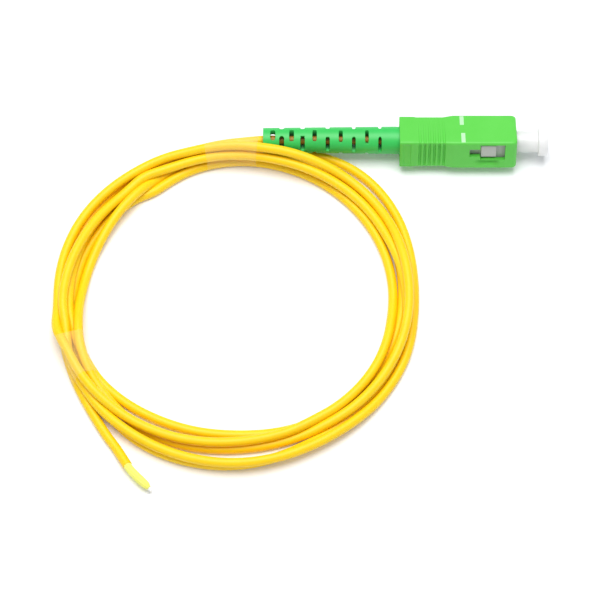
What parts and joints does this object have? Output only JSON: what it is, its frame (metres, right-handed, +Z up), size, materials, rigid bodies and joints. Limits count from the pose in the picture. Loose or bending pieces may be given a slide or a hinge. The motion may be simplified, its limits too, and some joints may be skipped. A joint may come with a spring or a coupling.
{
  "type": "fibre optic pigtail",
  "caption": "Fibre optic pigtail: a green angled push-pull connector with a slotted boot and a dust cap on thin yellow cable, coiled, taped, with a stripped bare end.",
  "frame": {"origin": "on the floor, under the middle of the connector with its cap, boot tip to cap end", "axes": "+X along the connector toward the ferrule, +Z up; the coil lies flat on the -Y side, and the connector is rolled 16 degrees about X, resting on its key"},
  "size_m": [0.1053, 0.0848, 0.0094],
  "materials": {
    "grip_plastic": "moulded bright green, satin gloss",
    "boot_plastic": "soft moulded green, satin",
    "frame_plastic": "moulded grey-white, satin",
    "zirconia": "polished white",
    "cap_plastic": "soft translucent, smooth",
    "cable_jacket": "extruded bright yellow, satin gloss",
    "aramid_yarn": "pale yellow yarn, combed along the cable",
    "fibre_buffer": "white coating, smooth",
    "tape_film": "clear film, slightly frosted"
  },
  "bodies": {
    "pigtail": {"plug_frame": "frame_plastic", "boot": "boot_plastic", "cable_coil": "cable_jacket", "cable_lead": "cable_jacket", "cable_tail": "cable_jacket", "aramid_yarn": "aramid_yarn", "buffered_fibre": "fibre_buffer", "tape_band_top": "tape_film", "tape_band_left": "tape_film"},
    "grip": {"outer_housing": "grip_plastic"},
    "fibre_end": {"ferrule": "zirconia"},
    "cap": {"dust_cap": "cap_plastic"}
  },
  "joints": [
    {"name": "grip_slide", "type": "slide", "parent": "pigtail", "child": "grip", "axis": [1, 0, 0], "range_m": [-0.0015, 0]},
    {"name": "ferrule_float", "type": "slide", "parent": "pigtail", "child": "fibre_end", "axis": [1, 0, 0], "range_m": [-0.001, 0], "stiffness_N_per_m": 200},
    {"name": "cap_pull", "type": "slide", "parent": "fibre_end", "child": "cap", "axis": [1, 0, 0], "range_m": [0, 0.012]}
  ]
}
